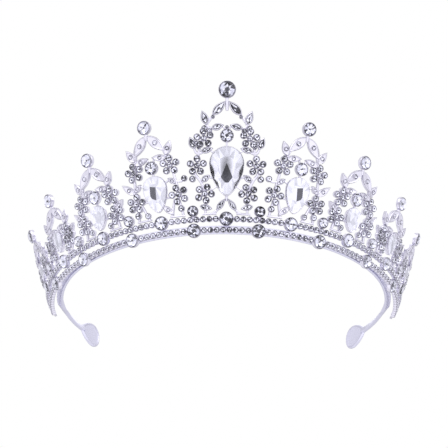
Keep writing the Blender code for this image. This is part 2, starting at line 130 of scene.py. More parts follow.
class Spread:
    """One spire's or rail's own flat sheet, wrapped on to the crown."""

    def __init__(self, angle, lean=0.0, flare=22.0):
        self.angle, self.lean, self.flare = math.radians(angle), math.radians(lean), math.radians(flare)

    def at(self, t, s, w):
        t, s = leaned(t, s, self.lean)
        return on_crown(self.angle, t, s, w, self.flare)

    def spot(self, t, s):
        """A rigid frame, in millimetres, lying on the sheet at t, s with z standing out of it."""
        origin = self.at(t, s, 0.0)
        outward = (self.at(t, s, 1.0) - origin).normalized()
        north = self.at(t, s + 0.01, 0.0) - origin
        north = (north - outward * north.dot(outward)).normalized()
        turned = Matrix((north.cross(outward), north, outward)).transposed().to_4x4()
        return Matrix.Translation(origin) @ turned @ Matrix.Scale(MM, 4)


def face_outwards(mesh):
    bm = bmesh.new()
    bm.from_mesh(mesh)
    bmesh.ops.recalc_face_normals(bm, faces=bm.faces)
    bm.to_mesh(mesh)
    bm.free()


class Solid:
    """A mesh in the making: closed shells, each with its own material slot and a tone for every face, which
    paints light and shade into that face's colour.
    """

    def __init__(self):
        self.points, self.faces, self.slots, self.tones, self.smooth = [], [], [], [], []

    def add(self, points, faces, tones, slots=None, smooth=True):
        start = len(self.points)
        self.points += [tuple(p) for p in points]
        self.faces += [[start + i for i in face] for face in faces]
        self.slots += slots or [0] * len(faces)
        self.tones += tones
        self.smooth += [smooth] * len(faces)

    def add_stone(self, points, clear, foil, painted_reflection_tones):
        """A closed stone: clear facets above its girdle, foil-backed ones below, whose tones paint
        reflections.
        """
        slots = [CLEAR] * len(clear) + [FOIL] * len(foil)
        self.add(points, clear + foil, [1.0] * len(clear) + painted_reflection_tones, slots, smooth=False)

    def loft(self, rings, tones=None, around=None):
        """A closed shell through rings of equal length, capped at both ends.

        tones has one value for each band between rings, or around has one for each side of a ring.
        """
        size, points = len(rings[0]), [p for ring in rings for p in ring]
        faces, shades = [list(range(size))[::-1]], [tones[0] if tones else 1.0]
        for level in range(len(rings) - 1):
            low = level * size
            for i in range(size):
                j = (i + 1) % size
                faces.append([low + i, low + j, low + size + j, low + size + i])
                shades.append(tones[level] if tones else around[i] if around else 1.0)
        faces.append(list(range(len(points) - size, len(points))))
        shades.append(tones[-1] if tones else 1.0)
        self.add(points, faces, shades)

    def make(self, name, materials, nodes, slot_name):
        mesh = bpy.data.meshes.new(name)
        mesh.from_pydata(self.points, [], self.faces)
        for material in materials:
            mesh.materials.append(material)
        mesh.polygons.foreach_set("material_index", self.slots)
        mesh.polygons.foreach_set("use_smooth", self.smooth)
        tone = mesh.attributes.new("tone", "FLOAT", "FACE")
        tone.data.foreach_set("value", self.tones)
        face_outwards(mesh)
        mesh.set_sharp_from_angle(angle=math.radians(38))
        piece = bpy.data.objects.new(name, mesh)
        bpy.context.scene.collection.objects.link(piece)
        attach(piece, "root")
        if nodes:
            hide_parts(*nodes)
        return piece


def circle(radius, height, sides, turn=0.0):
    around = (turn + 2 * math.pi * i / sides for i in range(sides))
    return [Vector((radius * math.cos(a), radius * math.sin(a), height)) for a in around]


def placed(spot, rings):
    return [[spot @ p for p in ring] for ring in rings]


def add_cup(solid, spot, inner, outer, rim, sides=20, deep=0.75):
    """A round collet: a bead-edged wall about a recess that holds a stone."""
    profile = (
        (outer * 0.72, BACK + 0.1),
        (outer - 0.12, BACK + 0.25),
        (outer, BACK + 0.6),
        (outer, rim - 0.42),
        (outer - 0.06, rim - 0.26),
        (outer - 0.2, rim - 0.04),
        ((outer - 0.2 + inner) / 2, rim),
        (inner + 0.02, rim - 0.04),
        (inner, rim - 0.22),
        (inner * 0.5, rim - deep),
    )
    # Painted shade: dark along the shoulder just under the rim's outside, half-dark on the inner wall and
    # darkest on the floor of the recess.
    tones = [1.0, 1.0, 0.95, 0.75, 0.25, 1.0, 1.0, 0.5, 0.25]
    solid.loft(placed(spot, [circle(r, z, sides) for r, z in profile]), tones=tones)


def add_bead(solid, spot, x, y, z, radius, tall=1.0):
    """A small round grain of metal."""
    rings = []
    for level in range(1, 6):
        turn = math.pi * level / 6
        ring = circle(radius * math.sin(turn), z - radius * tall * math.cos(turn), 8)
        rings.append([spot @ (p + Vector((x, y, 0))) for p in ring])
    solid.loft(rings)


def smooth_path(points, steps=5):
    """Points on a Catmull-Rom curve through the given ones."""
    ends = [points[0] * 2 - points[1]] + points + [points[-1] * 2 - points[-2]]
    made = []
    for a, b, c, d in zip(ends, ends[1:], ends[2:], ends[3:]):
        for i in range(steps):
            x = i / steps
            first = (c - a) * x
            second = (a * 2 - b * 5 + c * 4 - d) * x * x
            third = (b * 3 - a - c * 3 + d) * x**3
            made.append((b * 2 + first + second + third) / 2)
    return made + [points[-1]]


# Painted shade round a wire's section, darkest where the rounded top meets its walls: its back, a wall, the
# rounded top from edge to edge, and the other wall.
WIRE_PAINTED_SHADE = (1.0, 0.85, 0.5, 0.95, 1.0, 1.0, 0.95, 0.5, 0.85)


def add_wire(solid, spread, path, width, top=-0.1, taper=0.75):
    """A cast scroll: a half-round bar along a smooth path, a little finer at its ends."""
    line = smooth_path([Vector(p) for p in path])
    section = [(math.cos(a), math.sin(a)) for a in (math.pi * i / 6 for i in range(7))]
    rings = []
    for i, point in enumerate(line):
        along = (line[min(i + 1, len(line) - 1)] - line[max(i - 1, 0)]).normalized()
        across = Vector((-along.y, along.x))
        ends = min(i, len(line) - 1 - i) / max(len(line) * 0.3, 1)
        half = width / 2 * (taper + (1 - taper) * min(ends, 1.0))
        ring = []
        for x, y in section:
            side = point + across * (half * x)
            ring.append(spread.at(side.x, side.y, top - 0.45 + 0.45 * y))
        for x in (-0.85, 0.85):
            side = point + across * (half * x)
            ring.append(spread.at(side.x, side.y, BACK + 0.15))
        rings.append(ring[::-1])
    solid.loft(rings, around=WIRE_PAINTED_SHADE)


def leaf_outline(base, tip, width, inset, steps=7):
    """A pointed oval, drawn in from its true edge by inset."""
    base, tip = Vector(base), Vector(tip)
    along = tip - base
    length = along.length
    along.normalize()
    across = Vector((-along.y, along.x))
    start, end = base + along * inset * 1.3, tip - along * inset * 2.0
    right, left = [], []
    for i in range(1, steps + 1):
        share = i / (steps + 1)
        half = max(width / 2 - inset, 0.05) * math.sin(math.pi * share**0.85) ** 0.9
        spine = start.lerp(end, share)
        right.append(spine - across * half)
        left.append(spine + across * half)
    return [start] + right + [end] + left[::-1]


def add_leaf(solid, spread, base, tip, width, navette):
    """A cast leaf with a raised rim. A navette leaf is cut away for a pointed stone; the rest are dished."""
    floor = -0.35 if navette else 0.12
    profile = [(0.22, BACK), (0.02, BACK + 0.2), (0.0, 0.0), (0.15, 0.2), (0.27, 0.32), (0.4, 0.28)]
    profile += [(0.54, floor + 0.08), (0.64, floor)]
    rings = []
    for inset, w in profile:
        rings.append([spread.at(p.x, p.y, w) for p in leaf_outline(base, tip, width, inset)])
    # Painted shade: darker on the outer edge rising to the rim and on the inner wall, and on a navette
    # leaf's floor under its stone.
    dark = 0.25 if navette else 1.0
    solid.loft(rings, tones=[1.0, 0.9, 0.45, 1.0, 1.0, 0.5, dark])


# Cut stones: the crown and girdle are clear, and the pavilion below carries the foil.

CLEAR, FOIL = 0, 1  # material slots of a stone
# DOT is a painted dark reflection, on the flat at the bottom of a large stone.
DOT = 0.1  # tone of the dark flat at the bottom of a large stone

# The foil's tone on each facet is drawn from one of these, as a painted reflection. The stones nearest the
# front get the darkest painted reflections, the most broken up, and those at the sides the palest.
BRIGHT_PAINTED_REFLECTIONS = (1.0, 1.0, 1.0, 1.0, 0.9, 0.5, 0.08)
DARK_PAINTED_REFLECTIONS = (1.0, 1.0, 1.0, 1.0, 0.85, 0.3, 0.03, 0.03)
PALE_PAINTED_REFLECTIONS = (1.0, 1.0, 1.0, 1.0, 0.95, 0.75, 0.4)
FRONT_ANGLE, SIDE_ANGLE = 14.0, 33.0


def painted_reflections_at(degrees):
    if abs(degrees) > SIDE_ANGLE:
        return PALE_PAINTED_REFLECTIONS
    return DARK_PAINTED_REFLECTIONS if abs(degrees) < FRONT_ANGLE else BRIGHT_PAINTED_REFLECTIONS


def add_brilliant(solid, spot, radius, girdle, crown, depth, reflection_choices, rng):
    """A round brilliant: table, stars, kites and halves above, mains and halves below."""
    table = circle(radius * 0.6, girdle + crown, 8)
    stars = circle(radius * 0.82, girdle + crown * 0.5, 8, math.radians(22.5))
    edge = circle(radius, girdle, 16)
    under = circle(radius, girdle - 0.08 * radius, 16)
    lows = circle(radius * 0.38, girdle - depth * 0.7, 8, math.radians(22.5))
    # The darkest stones get a wider culet, for a larger painted dark reflection.
    culet = circle(radius * (0.3 if reflection_choices is DARK_PAINTED_REFLECTIONS else 0.14), girdle - depth, 8)
    points = [spot @ p for p in table + stars + edge + under + lows + culet]
    top, star, rim, foot, low, end = 0, 8, 16, 32, 48, 56
    clear = [list(range(8))]
    foil = [[end + i for i in reversed(range(8))]]
    for i in range(8):
        j, h = (i + 1) % 8, (i - 1) % 8
        clear.append([top + i, star + i, top + j])
        clear.append([top + i, star + h, rim + 2 * i, star + i])
        clear.append([star + i, rim + 2 * i, rim + 2 * i + 1])
        clear.append([star + i, rim + 2 * i + 1, rim + (2 * i + 2) % 16])
        foil.append([low + i, foot + 2 * i + 1, foot + 2 * i])
        foil.append([low + i, foot + (2 * i + 2) % 16, foot + 2 * i + 1])
        foil.append([foot + 2 * i, low + h, end + i, low + i])
        foil.append([low + i, end + i, end + j])
    for i in range(16):
        j = (i + 1) % 16
        clear.append([rim + i, foot + i, foot + j, rim + j])
    # Painted reflections: the culet dark, and each other pavilion facet drawn at random from the given
    # tones.
    tones = [DOT] + [rng.choice(reflection_choices) for _ in foil[1:]]
    solid.add_stone(points, clear, foil, tones)


def add_single_cut(solid, spot, outline, girdle, crown, depth, reflection_choices, dot, rng):
    """A small stone of any convex outline, counter-clockwise: table, one row of facets, foiled pavilion."""
    size = len(outline)
    levels = ((0.58, girdle + crown), (1.0, girdle), (1.0, girdle - 0.06), (0.3, girdle - depth))
    points = [spot @ Vector((x * k, y * k, z)) for k, z in levels for x, y in outline]
    clear = [list(range(size))]
    foil = [[3 * size + i for i in reversed(range(size))]]
    for i in range(size):
        j = (i + 1) % size
        for level in (0, 1):
            low = level * size
            clear.append([low + i, low + size + i, low + size + j, low + j])
        foil.append([2 * size + i, 3 * size + i, 3 * size + j, 2 * size + j])
    # Painted reflections: the flat at the bottom takes dot, and each other pavilion facet is drawn at random
    # from the given tones.
    tones = [dot] + [rng.choice(reflection_choices) for _ in foil[1:]]
    solid.add_stone(points, clear, foil, tones)


def round_outline(radius, sides=8):
    return [(p.x, p.y) for p in circle(radius, 0.0, sides, math.pi / sides)]


def set_stone(metal, stones, spread, t, s, radius, rng, rim=0.5):
    """A small round stone in its own cup."""
    spot = spread.spot(t, s)
    reflection_choices = painted_reflections_at(math.degrees(spread.angle + t / BAND_RADIUS))
    add_cup(metal, spot, radius, radius + 0.3, rim)
    add_single_cut(stones, spot, round_outline(radius - 0.03), rim - 0.12, 0.3, 0.26, reflection_choices, 0.03, rng)


def set_leaf(metal, stones, spread, base, tip, width, navette, rng):
    add_leaf(metal, spread, base, tip, width, navette)
    middle = Vector(base).lerp(Vector(tip), 0.46)
    if not navette:
        set_stone(metal, stones, spread, middle.x, middle.y, min(0.85, width * 0.24), rng, rim=0.45)
        return
    outline = leaf_outline(base, tip, width, 0.52, steps=3)
    flat = [(p.x - middle.x, p.y - middle.y) for p in outline]
    reflection_choices = painted_reflections_at(math.degrees(spread.angle))
    add_single_cut(stones, spread.spot(middle.x, middle.y), flat, 0.22, 0.3, 0.24, reflection_choices, 0.1, rng)


def set_flower(metal, stones, spread, t, s, turn, rng):
    """Five petals, each a stone in a cup, about a smaller one."""
    for petal in range(5):
        a = math.radians(turn + 72 * petal)
        x, y = t + PETAL_REACH * math.cos(a), s + PETAL_REACH * math.sin(a)
        add_wire(metal, spread, [(t, s), (x, y)], 1.1, top=-0.3, taper=1.0)
        set_stone(metal, stones, spread, x, y, 1.14, rng)
    set_stone(metal, stones, spread, t, s, 0.9, rng, rim=0.62)


# The halves of a spire: leaves (base, tip, width, navette), flowers (t, s, turn), wires (width, points) and
# single stones (t, s, radius), for the right-hand side. The left-hand side is the mirror image.


def centre_half():
    leaves = (
        ((5.9, 41.3), (0.5, 46.9), 3.4, True),
        ((7.9, 37.4), (10.1, 43.3), 3.1, True),
        ((6.3, 36.0), (1.1, 37.3), 2.8, True),
        ((12.8, 28.0), (14.9, 33.1), 3.0, True),
        ((10.4, 26.9), (5.4, 28.1), 2.6, True),
        ((10.1, 14.9), (6.6, 17.5), 2.5, True),
        ((3.9, 3.3), (0.5, 8.0), 2.4, True),
        ((10.6, 5.3), (5.6, 4.0), 2.6, True),
    )
    flowers = ((9.2, 32.2, 85), (11.9, 21.4, 92), (8.7, 10.1, 112))
    wires = (
        (1.1, ((4.9, 42.4), (6.6, 39.9), (8.3, 37.2), (9.2, 33.2))),
        (1.1, ((8.3, 37.4), (6.8, 36.2), (4.6, 36.2))),
        (0.7, ((1.8, 37.2), (1.2, 36.2), (0.6, 35.0))),
        (1.1, ((13.3, 28.9), (12.2, 26.6), (10.6, 26.3), (9.0, 26.9))),
        (1.1, ((10.4, 31.5), (10.9, 28.6), (11.2, 26.3), (11.8, 22.6))),
        (0.8, ((7.0, 27.6), (5.6, 26.6), (4.0, 25.4))),
        (1.1, ((12.6, 19.4), (12.2, 17.6), (10.6, 15.4), (9.2, 12.6), (8.7, 10.6))),
        (0.8, ((7.4, 16.9), (6.2, 16.4), (4.8, 16.2))),
        (0.7, ((6.4, 11.2), (4.9, 12.3), (3.2, 13.4))),
        (1.1, ((2.9, 4.6), (4.0, 3.2), (5.6, 2.0))),
        (1.1, ((8.3, 7.2), (8.3, 4.4), (8.3, 2.0))),
        (0.9, ((3.9, 2.0), (6.0, 2.05), (9.6, 2.0))),
    )
    singles = (
        (5.6, 40.6, 0.5),
        (11.2, 28.6, 0.55),
        (13.6, 16.2, 1.05),
        (9.0, 36.2, 0.9),
        (6.9, 35.0, 0.8),
        (12.2, 30.2, 0.8),
    )
    return leaves, flowers, wires, singles


def side_half(row, step, outward):
    high, neck = row["finial"], row["finial"] - 16.7
    across, low = row["flower"]
    leaves = [
        ((0.3, high - 3.4), (6.9, high - 10.8), 4.1, False),
        ((6.6, high - 12.6), (9.6, high - 6.9), 3.1, False),
        ((7.0, high - 13.7), (0.7, high - 12.4), 2.8, False),
    ]
    flowers = ((7.7, neck, 86), (across, low, 104))
    wires = [
        (1.1, ((5.6, high - 9.4), (6.5, high - 11.8), (7.4, neck + 1.2))),
        (1.1, ((8.3, neck - 1.4), (8.7, (neck + low) / 2), (across + 0.3, low + 1.4))),
        (0.8, ((row["pear_width"] * 0.34, low - 0.6), (across - 3.2, low - 0.4), (across - 1.6, low))),
        (1.1, ((across - 0.2, low - 1.6), (across + 0.2, 3.8), (across + 0.4, 2.0))),
        (0.9, ((4.0, 2.0), (6.0, 2.05), (across + 1.1, 2.0))),
        (1.1, ((across - 2.1, low - 1.4), (5.4, 3.9), (4.7, 2.0))),
    ]
    singles = []
    if step == 1:
        singles.append((9.2, 4.7, 1.05))
    if step == 1 and not outward:
        leaves.append(((1.9, 6.6), (6.0, 2.7), 2.5, False))
    else:
        singles.append((5.0, 3.9, 0.95))
    if step <= DROP_SPIRES:
        drop = drop_height(step)
        wires.append((0.7, ((1.6, high - 12.6), (1.0, drop + 2.0), (0.8, drop + 0.6))))
    else:
        wires.append((0.7, ((1.6, high - 12.6), (1.0, high - 13.4), (0.8, row["pear_top"] - 1.0))))
    if step == 1:
        leaves.append(((8.9, 14.6), (5.8, 17.2), 2.3, False))
        wires.append((0.8, ((6.4, 16.6), (5.0, 15.9), (3.4, 15.2))))
    side_height = high - 23.3 if step == 1 else low + 3.0
    edge = across + 0.6
    if step == 1 and not outward:
        wires.append((1.1, ((9.0, 15.4), (11.0, 15.2), (12.4, 15.9))))
        singles.append((12.5, 16.0, 1.0))
    elif outward and step < 4:
        leaves.append(((edge - 1.0, side_height - 2.0), (edge + 4.4, side_height + 3.4), 2.8, False))
    elif not outward:
        leaves.append(((edge, low + 2.0), (edge + 3.7, low + 5.6), 2.6, False))
    return leaves, flowers, wires, singles


PEAR_WAIST = 0.38  # how much narrower than an ellipse the lower half is at its tip


def pear_point(row, share, grow=0.0):
    """A point on the pear's outline, its share of a turn counter-clockwise from the top."""
    radius = row["pear_width"] / 2 + grow
    middle = row["pear_top"] - row["pear_width"] / 2
    drop = middle - (row["pear_tip"] - 1.6 * grow)
    turn = 2 * math.pi * share
    x, y = radius * math.sin(turn), math.cos(turn)
    if y < 0:
        return -x * (1 - PEAR_WAIST * y * y), middle + y * drop
    return -x, middle + y * radius


def drop_height(step):
    return CENTRE_DROP_HEIGHT if step == 0 else SPIRES[step]["pear_top"] + DROP_RISE


def build_spire(step, side, where, silver, stone_look):
    row = SPIRES[step]
    rng = random.Random(100 * step + side)
    spread = Spread(row["angle"] * side, row["lean"] * side, row["flare"])
    metal, stones = Solid(), Solid()
    for hand in (1, -1):
        half = centre_half() if step == 0 else side_half(row, step, side == hand)
        leaves, flowers, wires, singles = half
        for width, points in wires:
            add_wire(metal, spread, [(hand * t, s) for t, s in points], width)
        for base, tip, width, navette in leaves:
            base, tip = (hand * base[0], base[1]), (hand * tip[0], tip[1])
            set_leaf(metal, stones, spread, base, tip, width, navette, rng)
        for t, s, turn in flowers:
            set_flower(metal, stones, spread, hand * t, s, 90 + hand * (turn - 90), rng)
        for t, s, radius in singles:
            set_stone(metal, stones, spread, hand * t, s, radius, rng)
    build_spine(metal, stones, spread, step, rng)
    metal.make("spire_casting_" + where, [silver], ["spire_" + where], "silver_plate")
    stones.make("spire_pave_" + where, stone_look, [], "crystal")


# From the foot of a pear's basket, over its rim, to the floor inside: the outline's growth, and w.
BASKET_PROFILE = (
    (-0.6, BACK), (0.1, BACK + 0.3), (0.28, -0.2), (0.3, 0.5),
    (0.18, 0.68), (0.02, 0.6), (-0.1, 0.1), (-0.9, -1.1),
)  # fmt: skip
# Painted shade on a basket: darker along the outer edge of its rim.
BASKET_PAINTED_SHADE = (1.0, 1.0, 0.95, 0.6, 1.0, 0.95, 0.95)
CLAW_SHARES = (0.14, 0.38, 0.5, 0.62, 0.86)  # of a turn from the pear's top
CENTRE_NECK, SIDE_NECK = 43.1, 5.2  # where a finial's stem starts: its height, and how far below the finial


def build_spine(metal, stones, spread, step, rng):
    """What stands on a spire's own centre line: the finial's collet, the drop's, the pear's basket."""
    row = SPIRES[step]
    high = row["finial"]
    stone = CENTRE_FINIAL_STONE if step == 0 else FINIAL_STONE
    add_cup(metal, spread.spot(0, high), stone, stone + 0.3, LARGE_GIRDLE + 0.12, 32, LARGE_DEEP)
    foot = CENTRE_NECK if step == 0 else high - SIDE_NECK
    stem = [(0, foot), (0, (foot + high - stone) / 2), (0, high - stone + 0.2)]
    add_wire(metal, spread, stem, 1.5, top=0.2)
    if step <= DROP_SPIRES:
        spot = spread.spot(0, drop_height(step))
        add_cup(metal, spot, DROP_STONE, DROP_STONE + 0.28, LARGE_GIRDLE + 0.05, 32, LARGE_DEEP)
        for claw in circle(DROP_STONE, 0.8, 6, math.radians(30)):
            add_bead(metal, spot, claw.x, claw.y, claw.z, 0.3)
        add_wire(metal, spread, [(0, row["pear_top"] - 0.8), (0, drop_height(step) - DROP_STONE)], 0.8)
    if step == 0:
        add_wire(metal, spread, [(0, 7.0), (0, 10.2)], 1.2)
        set_stone(metal, stones, spread, 0, 36.5, 0.45, rng)
    rings = []
    for grow, w in BASKET_PROFILE:
        rings.append([spread.at(*pear_point(row, i / 40, grow), w) for i in range(40)])
    metal.loft(rings, tones=BASKET_PAINTED_SHADE)
    for share in CLAW_SHARES:
        t, s = pear_point(row, share, 0.05)
        add_bead(metal, spread.spot(t, s), 0, 0, 0.75, 0.42, 0.9)


# A pear stone's rings, as shares of its outline, of its crown's height and of its pavilion's depth.
PEAR_SIDES = 24
PEAR_TABLE, PEAR_STARS, PEAR_STAR_RISE = 0.62, 0.82, 0.55
PEAR_GIRDLE = 0.12
PEAR_LOWS, PEAR_LOW_DROP = 0.55, 0.6
# Painted reflections, drawn at random for the pavilion's facets.
PEAR_PAINTED_REFLECTIONS = (1.0, 0.95, 0.85, 0.7)
# The flat at the bottom of an inner pear, on the right-hand side: a skew patch, before its scale and shift.
INNER_FLAT = ((0.9, 2.2), (-1.5, 1.6), (-1.0, -2.4), (0.7, -1.4))
INNER_FLAT_SCALE, INNER_FLAT_SHIFT = 1.3, 1.5
# On the other pears it is a kite, sized by the stone's width and length.
FLAT_WIDE, FLAT_TALL, FLAT_LOW = 0.17, 0.24, 0.1


def pear_flat(row, step, side):
    """The four corners of the flat at the bottom of a pear stone, counter-clockwise from the top."""
    if step == 1:
        corners = [(x * side, y) for x, y in INNER_FLAT]
        if side < 0:
            corners = corners[:1] + corners[:0:-1]
        scale = INNER_FLAT_SCALE
        return [(scale * x + INNER_FLAT_SHIFT * side, scale * y) for x, y in corners]
    length = row["pear_top"] - row["pear_tip"]
    wide, tall = row["pear_width"] * FLAT_WIDE, length * FLAT_TALL
    corners = ((0, 0.9 * tall), (-wide, -0.3 * tall), (0, -1.3 * tall), (wide, -0.3 * tall))
    return [(x, y - length * FLAT_LOW) for x, y in corners]


def pear_facets():
    """Corner numbers of the clear facets and of the foiled ones, in build_pear's order of rings."""
    sides, half = PEAR_SIDES, PEAR_SIDES // 2
    table, star, rim, foot = 0, half, 2 * half, 2 * half + sides
    low, flat = foot + sides, foot + sides + half
    clear, foil = [list(range(half))], []
    for i in range(half):
        j, h = (i + 1) % half, (i - 1) % half
        clear.append([table + i, star + i, table + j])
        clear.append([table + i, star + h, rim + 2 * i, star + i])
        clear.append([star + i, rim + 2 * i, rim + 2 * i + 1])
        clear.append([star + i, rim + 2 * i + 1, rim + (2 * i + 2) % sides])
        foil.append([low + i, foot + 2 * i + 1, foot + 2 * i])
        foil.append([low + i, foot + (2 * i + 2) % sides, foot + 2 * i + 1])
        foil.append([foot + 2 * i, low + h, low + i])
    for i in range(sides):
        j = (i + 1) % sides
        clear.append([rim + i, foot + i, foot + j, rim + j])
    # The flat's four corners fan out to the ring of low points about them.
    quarter = half // 4
    for corner in range(4):
        first = corner * quarter - 2
        for k in range(quarter):
            foil.append([low + (first + k) % half, low + (first + k + 1) % half, flat + corner])
        foil.append([low + (first + quarter) % half, flat + (corner + 1) % 4, flat + corner])
    foil.append([flat + i for i in reversed(range(4))])
    return clear, foil


def build_pear(step, side, where, stone_look):
    """A pear brilliant. The flat at its bottom carries a painted dark reflection on the large ones, and
    shows through the table.
    """
    row = SPIRES[step]
    rng = random.Random(500 + 10 * step + side)
    spread = Spread(row["angle"] * side, row["lean"] * side, row["flare"])
    middle = row["pear_top"] - (row["pear_top"] - row["pear_tip"]) * 0.45
    spot = spread.spot(0, middle)
    crown, depth = PEAR_CROWN_SHARE * row["pear_width"], PEAR_DEPTH_SHARE * row["pear_width"]
    edge = []
    for i in range(PEAR_SIDES):
        t, s = pear_point(row, i / PEAR_SIDES)
        edge.append(Vector((t, s - middle, 0)))

    def ring(corners, scale, z):
        return [p * scale + Vector((0, 0, LARGE_GIRDLE + z)) for p in corners]

    points = ring(edge[0::2], PEAR_TABLE, crown)
    points += ring(edge[1::2], PEAR_STARS, crown * PEAR_STAR_RISE)
    points += ring(edge, 1.0, 0.0) + ring(edge, 1.0, -PEAR_GIRDLE)
    points += ring(edge[1::2], PEAR_LOWS, -depth * PEAR_LOW_DROP)
    points += [Vector((x, y, LARGE_GIRDLE - depth)) for x, y in pear_flat(row, step, side)]
    clear, foil = pear_facets()
    tones = [rng.choice(PEAR_PAINTED_REFLECTIONS) for _ in foil[1:]] + [DOT if step < 2 else PEAR_PAINTED_REFLECTIONS[-1]]
    stone = Solid()
    stone.add_stone([spot @ p for p in points], clear, foil, tones)
    stone.make("pear_stone_" + where, stone_look, ["pear_crystal_" + where], "crystal")


def build_round(kind, where, spot, radius, degrees, stone_look, seed):
    stone, rng = Solid(), random.Random(seed)
    depth = radius * LARGE_DEPTH
    add_brilliant(stone, spot, radius - 0.04, LARGE_GIRDLE, LARGE_CROWN, depth, painted_reflections_at(degrees), rng)
    stone.make(kind + "_stone_" + where, stone_look, [kind + "_crystal_" + where], "crystal")


def side_names(step):
    if step == 0:
        return [(0, "centre")]
    return [(-1, "left_" + PLACES[step]), (1, "right_" + PLACES[step])]


def half_angles():
    angles = [row["angle"] for row in SPIRES]
    return [(a + b) / 2 for a, b in zip(angles, angles[1:])]


def build_large_stones(stone_look, pear_look):
    for step, row in enumerate(SPIRES):
        for side, where in side_names(step):
            angle, seed = row["angle"], 10 * step + side
            spread = Spread(angle * side, row["lean"] * side, row["flare"])
            stone = CENTRE_FINIAL_STONE if step == 0 else FINIAL_STONE
            build_round("finial", where, spread.spot(0, row["finial"]), stone, angle, stone_look, seed)
            build_pear(step, side, where, pear_look if step else stone_look)
            if step <= DROP_SPIRES:
                spot = spread.spot(0, drop_height(step))
                build_round("drop", where, spot, DROP_STONE, angle, stone_look, seed + 60)
            spot = Spread(angle * side).spot(0, 0)
            build_round("upper_rail", where, spot, RAIL_STONE, angle, stone_look, seed + 120)
    for step, angle in enumerate(half_angles(), start=1):
        for side, where in side_names(step):
            spread, seed = Spread(angle * side), 200 + 10 * step + side
            spot = spread.spot(0, -LOWER_RAIL_DROP)
            build_round("lower_rail", where, spot, RAIL_STONE, angle, stone_look, seed)
            spot = spread.spot(0, BETWEEN_HEIGHT)
            build_round("between", where, spot, BETWEEN_STONE, angle, stone_look, seed + 60)


# Rails: rows of small cups on a thin bar, between large collets.


def rail_level(level, angle):
    near = min(max((abs(angle) - RAIL_CLOSE) / (RAIL_END - RAIL_CLOSE), 0.0), 1.0)
    return level + (-LOWER_RAIL_DROP / 2 - level) * 0.55 * near * near


def small_angles(large):
    """Even places for small stones in each gap between the large ones, then out to the rail's end."""
    pitch = math.degrees(SMALL_PITCH / BAND_RADIUS)
    clear = math.degrees((RAIL_STONE + 0.3 + SMALL_PITCH / 2) / BAND_RADIUS)
    stops = sorted(large)
    found = []
    for a, b in zip(stops, stops[1:]):
        count = round((b - a - 2 * clear) / pitch) + 1
        found += [a + clear + (b - a - 2 * clear) * i / (count - 1) for i in range(count)]
    angle = stops[-1] + clear
    while angle < RAIL_END - 2.0:
        found += [angle, -angle]
        angle += pitch
    return sorted(found)


def build_rail(name, level, large, small_seats, silver, stone_look, seed):
    """A bar with a row of small stones, and cups for the large stones and for those that stand over it."""
    rng = random.Random(seed)
    metal, stones = Solid(), Solid()
    bar, steps = [], 160
    for i in range(steps + 1):
        angle = RAIL_END * (2 * i / steps - 1)
        fade = min(1.0, (RAIL_END - abs(angle)) / 10 + 0.12)
        half, middle = RAIL_WIDTH / 2 * 0.72 * fade, rail_level(level, angle)
        turn = math.radians(angle)
        right = [(half, BACK + 0.1), (half, -0.35), (half * 0.6, -0.15)]
        section = [(-half, BACK + 0.1)] + right + [(-half * 0.6, -0.15), (-half, -0.35)]
        bar.append([on_crown(turn, 0, middle + s, w) for s, w in section])
    metal.loft(bar)
    for angle in small_angles(large):
        spread = Spread(angle)
        middle = rail_level(level, angle)
        size = 0.95 * min(1.0, (RAIL_END - abs(angle)) / 12 + 0.45)
        set_stone(metal, stones, spread, 0, middle, size, rng)
    for angle in large:
        spot = Spread(angle).spot(0, level)
        add_cup(metal, spot, RAIL_STONE, RAIL_STONE + 0.27, LARGE_GIRDLE + 0.1, 32, LARGE_DEEP)
    for angle in small_seats:
        spread = Spread(angle)
        add_wire(metal, spread, [(0, 0), (0, BETWEEN_HEIGHT)], 1.6)
        seat = spread.spot(0, BETWEEN_HEIGHT)
        add_cup(metal, seat, BETWEEN_STONE, BETWEEN_STONE + 0.27, LARGE_GIRDLE + 0.08, 28, LARGE_DEEP)
    metal.make(name + "_setting", [silver], [name], "silver_plate")
    stones.make(name + "_pave", stone_look, [], "crystal")


# Headband.


def share_past(degrees, start, end):
    return min(max((abs(degrees) - start) / (end - start), 0.0), 1.0)


def band_radius(degrees):
    return BAND_LOW_RADIUS - BAND_TUCK * share_past(degrees, BAND_TUCK_START, PADDLE_TIP) ** 1.3


def band_height(degrees):
    shoulder = share_past(degrees, BAND_STRIP_END, BAND_STRIP_END + SHOULDER_ANGLE)
    along_arm = share_past(degrees, BAND_STRIP_END + SHOULDER_ANGLE, ARM_END)
    return BAND_HEIGHT - BAND_SHOULDER * shoulder - (BAND_HEIGHT - BAND_SHOULDER - ARM_HEIGHT) * along_arm


def band_foot(degrees):
    """The lower edge's height in the frame."""
    lift = RAIL_Z - UPPER_RAIL_HEIGHT
    return BAND_FOOT + lift + (BAND_HEIGHT - band_height(degrees)) / 2


def band_thick(degrees):
    return BAND_THICK + (ARM_THICK - BAND_THICK) * share_past(degrees, THICKEN_START, THICKEN_END)


def band_lean(degrees):
    """How far the strip's top edge stands out beyond its foot, for each millimetre of height."""
    turned = TWIST * share_past(degrees, TWIST_START, BAND_STRIP_END)
    return math.tan(FLARE) + turned - UNTWIST * share_past(degrees, BAND_STRIP_END, ARM_END)


def band_point(degrees, x, y):
    """The point x outside the strip's outer face and y above its foot."""
    turn = math.radians(degrees)
    r = band_radius(degrees) + x + y * band_lean(degrees)
    return Vector((r * math.sin(turn), RING_Y - r * math.cos(turn), band_foot(degrees) + y)) * MM


